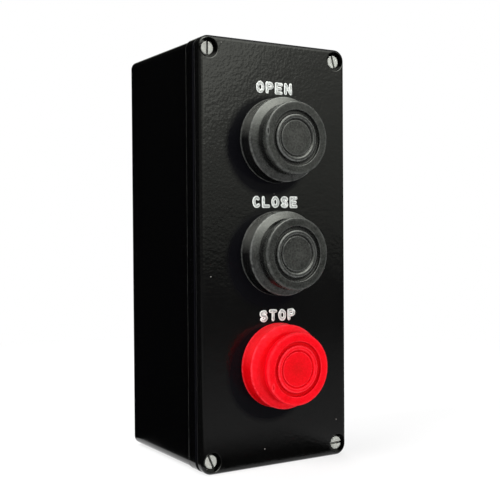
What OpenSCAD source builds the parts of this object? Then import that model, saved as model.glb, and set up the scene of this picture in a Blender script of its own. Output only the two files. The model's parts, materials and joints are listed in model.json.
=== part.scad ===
// Three-button control station for surface mounting: a black enamelled cast box with a
// screwed cover, three rubber-booted push buttons and one contact block behind each of them.
// Frame: X to the right, Z up, the cover faces -Y, and the wall face lies in the plane Y = 0.
// The origin is the centre of the wall face.

/* [Enclosure] */
// Width of the cover and of the box flange
station_w = 69; // [66:1:90]
// Height of the cover and of the box flange
station_h = 170; // [165:1:230]
// Depth from the wall face to the front of the cover
station_d = 65; // [62:1:95]
// Corner radius of the cover and of the flange
corner_r = 4.5; // [3:0.5:7]
// How far the box sides stand in from the flange
box_inset = 0.5; // [0.2:0.1:1.2]
// Corner radius of the box behind the flange
box_corner_r = 3.5; // [2.5:0.5:6]
// Rounding of the box edges at the wall
box_back_r = 1; // [0.5:0.1:2.4]
// Thickness of the side walls
wall_t = 3; // [2.5:0.25:3.5]
// Thickness of the back wall
back_t = 4; // [3:0.5:5]
// Depth of the flange
flange_t = 6.2; // [4:0.2:9]

/* [Cover] */
// Thickness of the cover at its rim
cover_t = 4.5; // [4:0.1:6]
// Thickness of the cover plate inside the rim
face_t = 3; // [2.5:0.1:3.5]
// Rounding of the cover's front edge
cover_edge_r = 1.7; // [0.5:0.1:2.2]
// Thickness of the cover gasket
gasket_t = 1; // [0.6:0.1:1.6]
// How far the gasket stands in from the cover's outline
gasket_inset = 0.6; // [0.3:0.1:1.2]

/* [Cover screws] */
// Distance of a screw from the side of the cover
screw_inset_x = 4.5; // [4.3:0.1:5.5]
// Distance of a screw from the top or bottom of the cover
screw_inset_z = 5; // [4.3:0.1:6.5]
// Thread diameter
screw_d = 3; // [2.9:0.1:3.5]
// Length under the head
screw_len = 15; // [11:1:20]
// Head diameter
screw_head_d = 5.3; // [5:0.1:6.2]
// Head height
screw_head_h = 2; // [1.6:0.1:2.4]
// Diameter of the recess round a head
recess_d = 7.8; // [7:0.1:8.2]
// Depth of the recess round a head
recess_depth = 3.3; // [2.4:0.1:3.6]
// Diameter of the screw posts in the box
post_d = 9.2; // [8:0.2:11]

/* [Push buttons] */
// Distance between the buttons
button_pitch = 45; // [42:1:56]
// Height of the middle button above the centre of the cover
button_rise = 0.5; // [-3:0.5:3]
// Travel of a button from rest to fully pressed
travel = 4; // [2:0.5:4.5]
// Diameter of the operator's barrel
barrel_d = 21; // [20.6:0.1:21.4]
// Diameter of the plunger's stem
stem_d = 10; // [9:0.25:10.5]
// Width of the operator body behind the cover
operator_w = 30; // [28:1:36]
// Height of the operator body behind the cover
operator_h = 28; // [27.5:0.5:31]
// Depth of the operator body behind its seal
operator_t = 10.2; // [9.8:0.2:13]
// Thickness of the seal behind the cover
seal_t = 0.8; // [0.5:0.1:1.2]
// Thickness of the ring nut under the boot
ring_nut_t = 3; // [2:0.25:3.5]

/* [Boots] */
// Diameter of the boot where it meets the cover
boot_d = 34; // [33:0.5:37]
// Height of the boot's base ring
boot_base_h = 7; // [6:0.25:7.5]
// Height of the foot that stands out round the base ring
boot_foot_h = 0.8; // [0.5:0.1:1.5]
// How far the foot stands out from the base ring
boot_foot_step = 0.25; // [0.1:0.05:0.4]
// Depth of the chamfer on the base ring
boot_chamfer = 1.6; // [1:0.1:2]
// Diameter at which the chamfer meets the fold
boot_waist_d = 27.8; // [27.6:0.1:29]
// Diameter of the bottom of the fold between the base ring and the cap
neck_d = 26.6; // [26.4:0.1:27.2]
// Thickness of the rubber at the bottom of the fold
neck_t = 0.8; // [0.6:0.1:0.9]
// Diameter of the cap's rim
cap_d = 28.4; // [27.6:0.1:29]
// Height of the cap's rim
cap_rim_h = 2.2; // [1.9:0.1:2.6]
// Height of the cap's face above the cover
cap_h = 15; // [14.5:0.25:18]
// Thickness of the cap's face
cap_t = 1.8; // [1.5:0.1:2]
// Rounding of the cap's rim
cap_edge_r = 0.8; // [0.4:0.1:1]
// Outer diameter of the groove in the cap's face
groove_d = 21.8; // [20:0.2:23]
// Outer diameter of the rounded bead inside the groove
bead_d = 18.4; // [17:0.2:19.4]
// Diameter of the flat disc inside the bead
disc_d = 14.4; // [13.6:0.2:15]
// Depth of the groove in the cap's face
groove_depth = 1.3; // [0.8:0.1:1.4]
// Depth of the flat disc below the top of the bead
disc_depth = 0.4; // [0.2:0.1:0.7]

/* [Contact blocks] */
// Width of a contact block
block_w = 40; // [38:1:44]
// Height of a contact block
block_h = 28; // [27.5:0.5:32]
// Depth of a block in front of its cap
block_t = 19; // [18.5:0.5:22]
// Thickness of a block's cap
block_cap_t = 3; // [2.5:0.25:4]
// Distance of a terminal screw from the side of its block
terminal_inset = 3.5; // [3.4:0.1:3.8]
// Distance between a terminal screw and the contact tip beside it
contact_inset = 7; // [6.75:0.25:7.5]
// Width of the contact strips
strip_w = 6; // [5:0.25:6.2]
// Thickness of the contact strips
strip_t = 1; // [0.7:0.1:1.2]
// Thread diameter of the terminal screws
terminal_screw_d = 3.5; // [2.9:0.1:3.8]
// Head diameter of the terminal screws
terminal_head_d = 6.4; // [6:0.1:6.6]
// Thread diameter of the screws that hold a block
block_screw_d = 3; // [2.5:0.1:3.2]
// Head diameter of the screws that hold a block
block_head_d = 5.5; // [5:0.1:5.6]

/* [Wall and conduit] */
// Distance between the two wall screws
wall_hole_pitch = 120; // [100:5:130]
// Diameter of the wall screw holes
wall_hole_d = 5.2; // [4:0.1:6.5]
// Tapping diameter of the conduit entry
conduit_d = 18.3; // [16:0.1:22]
// Distance of the conduit's axis from the wall
conduit_y = 28; // [24:1:32]
// Depth of the thread in the conduit entry
conduit_len = 12; // [9:0.5:16]
// Thread diameter of the earth screw
earth_d = 4; // [3.5:0.1:5]
// Distance of the earth screw from the middle of the box
earth_x = 18; // [17:1:20]
// Height of the earth screw above the bottom of the box
earth_rise = 22; // [19:1:24]

/* [Hidden] */
$fn = 64;
// Overlap that keeps joined or cut faces apart
eps = 0.01;
// How far a cut reaches past the face that it opens
past = 1;
// Running clearance of parts that slide
slide_gap = 0.1;
// Clearance of a screw in its thread
thread_gap = 0.05;
// Clearance of a bolt or barrel in its hole
hole_gap = 0.2;
// Clearance between a moving part and its stop
stop_gap = 0.1;
// Clearance of hard parts inside the rubber boot
boot_gap = 0.4;

// The box and its cover
half_w = station_w / 2;
half_h = station_h / 2;
box_front = station_d - cover_t - gasket_t;
cavity_w = station_w - 2 * box_inset - 2 * wall_t;
cavity_h = station_h - 2 * box_inset - 2 * wall_t;
cavity_r = 1.5;
screw_x = half_w - screw_inset_x;
screw_z = half_h - screw_inset_z;
post_relief = 0.6;
post_pad_d = post_d + post_relief;
// The four cover screws: side, end and the angle at which each slot came to rest
screw_places = [[-1, 1, 90], [1, 1, 106], [-1, -1, 113], [1, -1, 2]];
slot_w = 0.9;
slot_depth = 1.1;
// Entry boss, rings round the wall screws and earth terminal, all on the inside of the box
hub_wall = 3.5;
wall_ring_w = 3;
wall_ring_h = 1;
earth_z = -half_h + earth_rise;
earth_boss_h = 6;
earth_boss_r = 4.6;
earth_floor = 2;
earth_washer_t = 0.8;
earth_head_d = 2 * earth_d;
earth_head_h = 0.65 * earth_d;
earth_slot = 30;

// Heights of the three buttons
open_z = button_rise + button_pitch;
close_z = button_rise;
stop_z = button_rise - button_pitch;

// Levels and sizes along a button's axis, measured outwards from the front of the cover
lip_t = 1.2;
barrel_stand = 0.4;
sleeve_t = 1.65;
barrel_t = 1.2;
guide_t = 6;
seal_z = -face_t - seal_t;
operator_z = seal_z - operator_t;
operator_corner_r = 3;
barrel_z = lip_t + ring_nut_t + barrel_stand;
barrel_r = barrel_d / 2;
stem_r = stem_d / 2;
bore_r = stem_r + slide_gap;
sleeve_r = bore_r + sleeve_t;
pocket_r = barrel_r - barrel_t;
pocket_z = -1;
guide_z = operator_z + guide_t;
clip_t = 1;
clip_z = guide_z - stop_gap - clip_t;
clip_r = 7;
clip_groove = 1.1;
clip_mouth = 6.2;
rear_pocket_r = clip_r + 1.5;
head_t = 2.4;
head_z = cap_h - cap_t - stop_gap - head_t;
spring_seat = 0.8;
spring_wire = 1.1;
spring_turns = 6.5;
key_w = 2.8;
key_h = 0.8;
key_r = barrel_r + key_h;
seal_inset = 0.5;
nut_slot_w = 2.2;
nut_slot_depth = 1.2;
// The boot: space inside it, channel in the back of its base ring, and the fold
boot_in_r = neck_d / 2 - neck_t;
boot_skirt = 1.4;
boot_relief_h = 5;
waist_z = boot_base_h + boot_chamfer;
rim_z = cap_h - cap_rim_h;
head_r = boot_in_r - boot_gap;
ring_nut_r = boot_in_r - boot_gap;

// The fine groove between the disc and the bead
disc_groove_w = 0.5;
disc_groove_depth = 0.4;

// Levels and sizes of a contact block
block_z = operator_z - block_t;
block_rear_z = block_z - block_cap_t;
block_corner_r = 1.5;
terminal_x = block_w / 2 - terminal_inset;
contact_x = terminal_x - contact_inset;
chamber_side = 3.5;
chamber_w = 2 * (contact_x + chamber_side);
chamber_h = strip_w + 5.2;
roof_t = 4;
chamber_z = operator_z - roof_t;
recess_h = strip_w + 4;
cap_clear = 0.8;
block_cap_w = 2 * (terminal_x - terminal_head_d / 2 - cap_clear);
carrier_w = 9;
carrier_h = strip_w + 4;
carrier_gap = 0.4;
carrier_top = clip_z - carrier_gap;
carrier_floor = 1.5;
spigot_r = 2.4;
spigot_len = 3;
spigot_end_gap = 0.2;
tail_w = 6;
tail_inset = 1;
tip_r = 1.6;
tip_t = 0.8;
tip_margin = 0.6;
strip_gap = 0.2;
contact_gap = 0.15;
contact_spring_len = 4.5;
contact_spring_r = 2.1;
contact_wire = 0.5;
contact_turns = 5.5;
terminal_rise = 3;
terminal_z = block_z + terminal_rise;
terminal_head_h = 2.2;
terminal_washer_t = 1;
terminal_washer_w = strip_w + 0.8;
terminal_slots = [-15, 65];
bridge_l = 2 * (contact_x + 1.8);
// A normally open block has its fixed tips behind the bridge, a normally closed one in front
open_tip_z = terminal_z + tip_t;
open_bridge_z = open_tip_z + travel + contact_gap + tip_t;
closed_tip_z = chamber_z - strip_gap - strip_t - tip_t;
closed_bridge_z = closed_tip_z - contact_gap - tip_t - strip_t;
block_screw_inset = 2.8;
block_screw_y = block_h / 2 - block_screw_inset;
block_head_h = 2.2;
block_slots = [10, 110];
screw_reach = 7;
drill_reach = 1.5;

// General shapes

// A rectangle with round corners, centred on the origin
module rounded_rect(w, h, r) {
    square([w - 2 * r, h], center = true);
    square([w, h - 2 * r], center = true);
    for (sx = [-1, 1], sy = [-1, 1])
        translate([sx * (w / 2 - r), sy * (h / 2 - r)])
            circle(r);
}

// A rectangle on the X axis, from y0 to y1, whose two corners at y1 are round
module round_topped(w, y0, y1, r) {
    translate([-w / 2, y0])
        square([w, y1 - y0 - r]);
    translate([-w / 2 + r, y0])
        square([w - 2 * r, y1 - y0]);
    for (sx = [-1, 1])
        translate([sx * (w / 2 - r), y1 - r])
            circle(r);
}

// A plate seen from the front, drawn on X and Z and reaching from y0 back to y1
module slab(y0, y1) {
    translate([0, y1, 0])
        rotate([90, 0, 0])
            linear_extrude(y1 - y0)
                children();
}

// A slab whose four edges at one face are rounded as well as its corners
module cast_slab(w, h, y0, y1, corner, edge, front) {
    intersection() {
        slab(y0, y1) rounded_rect(w, h, corner);
        rotate([0, 0, front ? 180 : 0])
            linear_extrude(2 * h, center = true)
                round_topped(w, front ? -y1 : y0, front ? -y0 : y1, edge);
        rotate([0, 0, front ? 180 : 0])
            rotate([0, 90, 0])
                linear_extrude(2 * w, center = true)
                    round_topped(h, front ? -y1 : y0, front ? -y0 : y1, edge);
    }
}

// What follows stands on a button's axis: X to the right, Y up and Z out of the cover
module at_button(z) {
    translate([0, -station_d, z])
        rotate([90, 0, 0])
            children();
}

// A ring between two levels
module ring(r_in, r_out, z0, z1) {
    translate([0, 0, z0])
        difference() {
            cylinder(r = r_out, h = z1 - z0);
            translate([0, 0, -eps])
                cylinder(r = r_in, h = z1 - z0 + 2 * eps);
        }
}

// A rectangular prism between two levels, centred on the axis
module bar(w, h, z0, z1) {
    translate([-w / 2, -h / 2, z0])
        cube([w, h, z1 - z0]);
}

// A slotted screw whose head stands on z = 0 and whose shank points to -Z
module slotted_screw(d, len, head_d, head_h, slot) {
    difference() {
        union() {
            cylinder(d = head_d, h = head_h);
            translate([0, 0, -len])
                cylinder(d = d, h = len + eps);
        }
        rotate([0, 0, slot])
            bar(head_d + past, slot_w, head_h - slot_depth, head_h + past);
    }
}

// A coil spring from z0 to z1 whose first and last turns lie close on their neighbours
module coil_spring(r, wire, z0, z1, turns, steps, sides) {
    count = turns * steps;
    low = z0 + wire / 2;
    high = z1 - wire / 2;
    closed = 1.04 * wire;
    pitch = (high - low - 2 * closed) / (turns - 2);
    // Height along the coil: one closed turn, the open turns, and one closed turn
    function height(t) =
        t < 1 ? low + closed * t
        : t > turns - 1 ? high - closed * (turns - t)
        : low + closed + pitch * (t - 1);
    function ring_points(t) =
        [for (j = [0 : sides - 1])
            let (a = 360 * t, b = 360 * j / sides, q = r + wire / 2 * cos(b))
            [q * cos(a), q * sin(a), height(t) + wire / 2 * sin(b)]];
    points = [for (i = [0 : count]) each ring_points(i / steps)];
    skin = [for (i = [0 : count - 1], j = [0 : sides - 1])
        let (k = (j + 1) % sides)
        [i * sides + j, (i + 1) * sides + j, (i + 1) * sides + k, i * sides + k]];
    caps = [[for (j = [0 : sides - 1]) j],
            [for (j = [sides - 1 : -1 : 0]) count * sides + j]];
    polyhedron(points, concat(skin, caps), convexity = 10);
}

// The enclosure

// The inside of the box and of the cover: a rectangle less the four screw posts, which
// run into the corner behind them
module cavity_outline(pad_d) {
    difference() {
        rounded_rect(cavity_w, cavity_h, cavity_r);
        for (p = screw_places) {
            translate([p[0] * screw_x, p[1] * screw_z])
                circle(d = pad_d);
            translate([p[0] * (screw_x + pad_d / 4), p[1] * (screw_z + pad_d / 2)])
                square([pad_d / 2 + past, pad_d], center = true);
            translate([p[0] * (screw_x + pad_d / 2), p[1] * (screw_z + pad_d / 4)])
                square([pad_d, pad_d / 2 + past], center = true);
        }
    }
}

// A round piece or cut that points out of the wall, from depth y0 to depth y1
module wall_round(x, z, r, y0, y1) {
    translate([x, -y0, z])
        rotate([90, 0, 0])
            cylinder(r = r, h = y1 - y0);
}

module back_box() {
    boss_top = back_t + earth_boss_h;
    color("black")
        difference() {
            union() {
                difference() {
                    union() {
                        cast_slab(station_w - 2 * box_inset, station_h - 2 * box_inset,
                                  -box_front, 0, box_corner_r, box_back_r, false);
                        slab(-box_front, -box_front + flange_t)
                            rounded_rect(station_w, station_h, corner_r);
                    }
                    slab(-box_front - past, -back_t) cavity_outline(post_d);
                }
                // Boss of the conduit entry, inside the lower wall
                translate([0, -conduit_y, -half_h + box_inset + wall_t / 2])
                    cylinder(r = conduit_d / 2 + hub_wall, h = conduit_len - wall_t / 2);
                for (s = [-1, 1])
                    wall_round(0, s * wall_hole_pitch / 2, wall_hole_d / 2 + wall_ring_w,
                               back_t - eps, back_t + wall_ring_h);
                wall_round(earth_x, earth_z, earth_boss_r, back_t - eps, boss_top);
            }
            translate([0, -conduit_y, -half_h])
                cylinder(d = conduit_d, h = conduit_len + past);
            for (s = [-1, 1])
                wall_round(0, s * wall_hole_pitch / 2, wall_hole_d / 2,
                           -past, back_t + wall_ring_h + past);
            wall_round(earth_x, earth_z, earth_d / 2 + thread_gap,
                       earth_floor, boss_top + past);
            // Threads of the cover screws
            for (p = screw_places)
                wall_round(p[0] * screw_x, p[1] * screw_z, screw_d / 2 + thread_gap,
                           box_front - screw_len, box_front + past);
        }
}

module front_cover() {
    color("black")
        difference() {
            cast_slab(station_w, station_h, -station_d, -station_d + cover_t,
                      corner_r, cover_edge_r, true);
            // The shallow recess behind the plate
            slab(-station_d + face_t, -station_d + cover_t + past)
                cavity_outline(post_pad_d);
            for (p = screw_places) {
                wall_round(p[0] * screw_x, p[1] * screw_z, recess_d / 2,
                           station_d - recess_depth, station_d + past);
                wall_round(p[0] * screw_x, p[1] * screw_z, screw_d / 2 + hole_gap,
                           station_d - cover_t - past, station_d);
            }
            for (z = [open_z, close_z, stop_z])
                at_button(z)
                    barrel_hole(-face_t - past, past);
        }
}

// The hole for a barrel, with the notch for its key
module barrel_hole(z0, z1) {
    translate([0, 0, z0]) {
        cylinder(r = barrel_r + hole_gap, h = z1 - z0);
        translate([-key_w / 2 - hole_gap, 0, 0])
            cube([key_w + 2 * hole_gap, key_r + hole_gap, z1 - z0]);
    }
}

module cover_gasket() {
    color("dimgray")
        difference() {
            slab(-box_front - gasket_t, -box_front)
                difference() {
                    rounded_rect(station_w - 2 * gasket_inset, station_h - 2 * gasket_inset,
                                 corner_r - gasket_inset);
                    cavity_outline(post_pad_d);
                }
            for (p = screw_places)
                wall_round(p[0] * screw_x, p[1] * screw_z, screw_d / 2 + hole_gap,
                           box_front - past, box_front + gasket_t + past);
        }
}

module cover_screws() {
    color("silver")
        for (p = screw_places)
            translate([p[0] * screw_x, -station_d + recess_depth, p[1] * screw_z])
                rotate([90, 0, 0])
                    slotted_screw(screw_d, screw_len, screw_head_d, screw_head_h, p[2]);
}

module earth_washer() {
    color("goldenrod")
        translate([earth_x, -back_t - earth_boss_h, earth_z])
            rotate([90, 0, 0])
                ring(earth_d / 2 + hole_gap, earth_boss_r, 0, earth_washer_t);
}

module earth_screw() {
    color("green")
        translate([earth_x, -back_t - earth_boss_h - earth_washer_t, earth_z])
            rotate([90, 0, 0])
                slotted_screw(earth_d, earth_boss_h + earth_washer_t, earth_head_d,
                              earth_head_h, earth_slot);
}

// The push buttons

// Half section of the boot: the lip under the ring nut, the base ring, the fold and the cap
module boot_section() {
    base_r = boot_d / 2;
    ring_r = base_r - boot_foot_step;
    neck_r = neck_d / 2;
    rim_r = cap_d / 2;
    bead_r = (bead_d - disc_d) / 4;
    bead_x = bead_d / 2 - bead_r;
    difference() {
        union() {
            difference() {
                union() {
                    polygon([[0, 0], [base_r, 0], [base_r, boot_foot_h],
                             [ring_r, boot_foot_h + boot_foot_step], [ring_r, boot_base_h],
                             [boot_waist_d / 2, waist_z], [neck_r, (waist_z + rim_z) / 2],
                             [rim_r, rim_z], [rim_r, cap_h - cap_edge_r],
                             [rim_r - cap_edge_r, cap_h], [0, cap_h]]);
                    translate([rim_r - cap_edge_r, cap_h - cap_edge_r])
                        circle(cap_edge_r);
                }
                // Groove round the bead, the flat disc inside it, and the fine groove between them
                translate([bead_x, cap_h - groove_depth])
                    square([groove_d / 2 - bead_x, groove_depth + past]);
                translate([-past, cap_h - disc_depth])
                    square([bead_x + past + eps, disc_depth + past]);
                translate([disc_d / 2 - disc_groove_w, cap_h - disc_depth - disc_groove_depth])
                    square([bead_x - disc_d / 2 + disc_groove_w, disc_groove_depth + past]);
            }
            translate([bead_x, cap_h - bead_r])
                circle(bead_r);
        }
        // Hole for the barrel, and the space round the nut and the plunger's head
        translate([-past, -past])
            square([barrel_r + hole_gap + past, cap_h - cap_t + past]);
        translate([0, lip_t])
            square([boot_in_r, cap_h - cap_t - lip_t]);
        // Channel in the back of the base ring
        translate([neck_r, -past])
            square([base_r - boot_skirt - neck_r, boot_relief_h + past]);
    }
}

module boot(colour) {
    color(colour)
        rotate_extrude()
            boot_section();
}

module ring_nut() {
    top = lip_t + ring_nut_t;
    color("silver")
        difference() {
            ring(barrel_r + thread_gap, ring_nut_r, lip_t, top);
            for (a = [45, 135])
                rotate([0, 0, a])
                    bar(2 * ring_nut_r + past, nut_slot_w, top - nut_slot_depth, top + past);
        }
}

module panel_seal() {
    color("dimgray")
        difference() {
            translate([0, 0, seal_z])
                linear_extrude(seal_t)
                    rounded_rect(operator_w - 2 * seal_inset, operator_h - 2 * seal_inset,
                                 operator_corner_r);
            barrel_hole(seal_z - past, seal_z + seal_t + past);
        }
}

module operator() {
    color("gainsboro")
        difference() {
            union() {
                translate([0, 0, operator_z])
                    linear_extrude(operator_t)
                        rounded_rect(operator_w, operator_h, operator_corner_r);
                translate([0, 0, seal_z - eps])
                    cylinder(r = barrel_r, h = barrel_z - seal_z + eps);
                translate([-key_w / 2, 0, seal_z - eps])
                    cube([key_w, key_r, face_t + seal_t + eps - hole_gap]);
            }
            translate([0, 0, operator_z - past])
                cylinder(r = bore_r, h = barrel_z - operator_z + 2 * past);
            ring(sleeve_r, pocket_r, pocket_z, barrel_z + past);
            translate([0, 0, operator_z - past])
                cylinder(r = rear_pocket_r, h = guide_z - operator_z + past);
            for (s = [-1, 1])
                translate([0, s * block_screw_y, operator_z - past])
                    cylinder(d = block_screw_d + 2 * thread_gap,
                             h = screw_reach + drill_reach + past);
        }
}

module plunger(colour) {
    color(colour)
        difference() {
            union() {
                translate([0, 0, head_z])
                    cylinder(r = head_r, h = head_t);
                translate([0, 0, carrier_top])
                    cylinder(r = stem_r, h = head_z - carrier_top + eps);
                translate([0, 0, carrier_top - spigot_len])
                    cylinder(r = spigot_r, h = spigot_len + eps);
            }
            ring(sleeve_r + slide_gap, pocket_r + slide_gap, head_z - past,
                 head_z + spring_seat);
            ring(stem_r - clip_groove, stem_r + past, clip_z - thread_gap,
                 clip_z + clip_t + thread_gap);
        }
}

module retaining_clip() {
    color("silver")
        difference() {
            ring(stem_r - clip_groove + thread_gap, clip_r, clip_z, clip_z + clip_t);
            translate([-clip_mouth / 2, -clip_r - past, clip_z - past])
                cube([clip_mouth, clip_r + past, clip_t + 2 * past]);
        }
}

module return_spring() {
    color("silver")
        coil_spring((sleeve_r + pocket_r) / 2, spring_wire, pocket_z,
                    head_z + spring_seat, spring_turns, 20, 6);
}

// The contact blocks

module contact_block() {
    color("saddlebrown")
        difference() {
            translate([0, 0, block_z])
                linear_extrude(block_t)
                    rounded_rect(block_w, block_h, block_corner_r);
            bar(chamber_w, chamber_h, block_z - past, chamber_z);
            bar(carrier_w + 2 * slide_gap, carrier_h + 2 * slide_gap,
                chamber_z - past, operator_z + past);
            for (s = [-1, 1]) {
                // Terminal recess, open to the side and to the rear
                translate([s * (chamber_w / 2 + block_w / 4), 0, 0])
                    bar(block_w / 2 + eps, recess_h, block_z - past, terminal_z);
                translate([s * terminal_x, 0, terminal_z - past])
                    cylinder(d = terminal_screw_d + 2 * thread_gap, h = screw_reach + past);
                translate([0, s * block_screw_y, block_z - past])
                    cylinder(d = block_screw_d + 2 * hole_gap, h = block_t + 2 * past);
            }
        }
}

module block_cap() {
    color("saddlebrown")
        difference() {
            translate([0, 0, block_rear_z])
                linear_extrude(block_cap_t)
                    rounded_rect(block_cap_w, block_h, block_corner_r);
            bar(tail_w + 2 * slide_gap, tail_w + 2 * slide_gap,
                block_rear_z - past, block_z + past);
            for (s = [-1, 1])
                translate([0, s * block_screw_y, block_rear_z - past])
                    cylinder(d = block_screw_d + 2 * hole_gap, h = block_cap_t + 2 * past);
        }
}

// The carrier: a post with a window for the bridge and its spring, and a tail through the cap.
// The window's seat for the bridge lies at seat, its seat for the spring at spring_end.
module contact_carrier(seat, spring_end) {
    low = min(seat, spring_end);
    high = max(seat, spring_end);
    color("ivory")
        difference() {
            union() {
                bar(carrier_w, carrier_h, low - carrier_floor, carrier_top);
                bar(tail_w, tail_w, block_rear_z + tail_inset, low - carrier_floor + eps);
            }
            bar(carrier_w + past, strip_w + 2 * slide_gap, low, high);
            translate([0, 0, carrier_top - spigot_len - spigot_end_gap])
                cylinder(r = spigot_r + thread_gap, h = spigot_len + spigot_end_gap + past);
        }
}

// The moving bridge, from z to z + strip_t, with its two tips on the side that is given
module contact_bridge(z, side) {
    color("peru") {
        bar(bridge_l, strip_w, z, z + strip_t);
        for (s = [-1, 1])
            translate([s * contact_x, 0, side > 0 ? z + strip_t - eps : z - tip_t])
                cylinder(r = tip_r, h = tip_t + eps);
    }
}

module contact_spring(z0, z1) {
    color("silver")
        coil_spring(contact_spring_r, contact_wire, z0, z1, contact_turns, 14, 6);
}

// A length of contact strip on the side s, from x0 to x1 and from z0 to z1
module strip(s, x0, x1, z0, z1) {
    translate([s * (x0 + x1) / 2, 0, 0])
        bar(x1 - x0, strip_w, z0, z1);
}

// A contact tip on the side s, and the hole of the terminal screw there
module tip(s, z) {
    translate([s * contact_x, 0, z])
        cylinder(r = tip_r, h = tip_t + eps);
}

module terminal_hole(s) {
    translate([s * terminal_x, 0, terminal_z - strip_t - past])
        cylinder(d = terminal_screw_d + 2 * thread_gap, h = strip_t + 2 * past);
}

// One flat strip per side: terminal pad behind, tip facing the bridge
module open_contacts() {
    color("peru")
        for (s = [-1, 1])
            difference() {
                union() {
                    strip(s, contact_x - tip_r - tip_margin, block_w / 2,
                          terminal_z - strip_t, terminal_z);
                    tip(s, terminal_z - eps);
                }
                terminal_hole(s);
            }
}

// One bent strip per side: terminal pad behind, leg along the chamber wall, tip in front
module closed_contacts() {
    arm_z = closed_tip_z + tip_t;
    leg_x = chamber_w / 2 - strip_t;
    color("peru")
        for (s = [-1, 1])
            difference() {
                union() {
                    strip(s, leg_x, block_w / 2, terminal_z - strip_t, terminal_z);
                    strip(s, leg_x, chamber_w / 2, terminal_z - strip_t, arm_z + strip_t);
                    strip(s, contact_x - tip_r - tip_margin, chamber_w / 2,
                          arm_z, arm_z + strip_t);
                    tip(s, closed_tip_z);
                }
                terminal_hole(s);
            }
}

// Terminal screws with their square clamping washers, heads to the rear
module terminal_screws() {
    color("silver")
        for (i = [0, 1])
            translate([(2 * i - 1) * terminal_x, 0, terminal_z - strip_t]) {
                bar(terminal_washer_w, terminal_washer_w, -terminal_washer_t, 0);
                translate([0, 0, -terminal_washer_t])
                    rotate([180, 0, 0])
                        slotted_screw(terminal_screw_d, screw_reach, terminal_head_d,
                                      terminal_head_h, terminal_slots[i]);
            }
}

module block_screws() {
    reach = block_cap_t + block_t + screw_reach;
    color("silver")
        for (i = [0, 1])
            translate([0, (2 * i - 1) * block_screw_y, block_rear_z])
                rotate([180, 0, 0])
                    slotted_screw(block_screw_d, reach, block_head_d, block_head_h,
                                  block_slots[i]);
}

// Parts that hold the bridge of a normally open block
module open_carrier() {
    contact_carrier(open_bridge_z, open_bridge_z + strip_t + contact_spring_len);
}

module open_bridge() {
    contact_bridge(open_bridge_z, -1);
}

module open_bridge_spring() {
    z = open_bridge_z + strip_t;
    contact_spring(z, z + contact_spring_len);
}

// Parts that hold the bridge of the normally closed block
module closed_carrier() {
    contact_carrier(closed_bridge_z + strip_t, closed_bridge_z - contact_spring_len);
}

module closed_bridge() {
    contact_bridge(closed_bridge_z, 1);
}

module closed_bridge_spring() {
    contact_spring(closed_bridge_z - contact_spring_len, closed_bridge_z);
}

back_box();
front_cover();
cover_gasket();
cover_screws();
earth_screw();
earth_washer();

at_button(open_z) boot("dimgray");  // open_boot
at_button(open_z) ring_nut();  // open_ring_nut
at_button(open_z) panel_seal();  // open_panel_seal
at_button(open_z) operator();  // open_operator
at_button(open_z) plunger("gray");  // open_plunger
at_button(open_z) return_spring();  // open_return_spring
at_button(open_z) retaining_clip();  // open_retaining_clip
at_button(open_z) contact_block();  // open_contact_block
at_button(open_z) block_cap();  // open_block_cap
at_button(open_z) open_carrier();  // open_contact_carrier
at_button(open_z) open_bridge();  // open_contact_bridge
at_button(open_z) open_bridge_spring();  // open_contact_spring
at_button(open_z) open_contacts();  // open_fixed_contacts
at_button(open_z) terminal_screws();  // open_terminal_screws
at_button(open_z) block_screws();  // open_block_screws

at_button(close_z) boot("dimgray");  // close_boot
at_button(close_z) ring_nut();  // close_ring_nut
at_button(close_z) panel_seal();  // close_panel_seal
at_button(close_z) operator();  // close_operator
at_button(close_z) plunger("gray");  // close_plunger
at_button(close_z) return_spring();  // close_return_spring
at_button(close_z) retaining_clip();  // close_retaining_clip
at_button(close_z) contact_block();  // close_contact_block
at_button(close_z) block_cap();  // close_block_cap
at_button(close_z) open_carrier();  // close_contact_carrier
at_button(close_z) open_bridge();  // close_contact_bridge
at_button(close_z) open_bridge_spring();  // close_contact_spring
at_button(close_z) open_contacts();  // close_fixed_contacts
at_button(close_z) terminal_screws();  // close_terminal_screws
at_button(close_z) block_screws();  // close_block_screws

at_button(stop_z) boot("red");  // stop_boot
at_button(stop_z) ring_nut();  // stop_ring_nut
at_button(stop_z) panel_seal();  // stop_panel_seal
at_button(stop_z) operator();  // stop_operator
at_button(stop_z) plunger("gray");  // stop_plunger
at_button(stop_z) return_spring();  // stop_return_spring
at_button(stop_z) retaining_clip();  // stop_retaining_clip
at_button(stop_z) contact_block();  // stop_contact_block
at_button(stop_z) block_cap();  // stop_block_cap
at_button(stop_z) closed_carrier();  // stop_contact_carrier
at_button(stop_z) closed_bridge();  // stop_contact_bridge
at_button(stop_z) closed_bridge_spring();  // stop_contact_spring
at_button(stop_z) closed_contacts();  // stop_fixed_contacts
at_button(stop_z) terminal_screws();  // stop_terminal_screws
at_button(stop_z) block_screws();  // stop_block_screws
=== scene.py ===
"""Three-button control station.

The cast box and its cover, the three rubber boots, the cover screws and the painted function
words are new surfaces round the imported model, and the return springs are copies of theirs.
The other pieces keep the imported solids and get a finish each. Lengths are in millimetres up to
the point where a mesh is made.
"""
import json
import math

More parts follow.
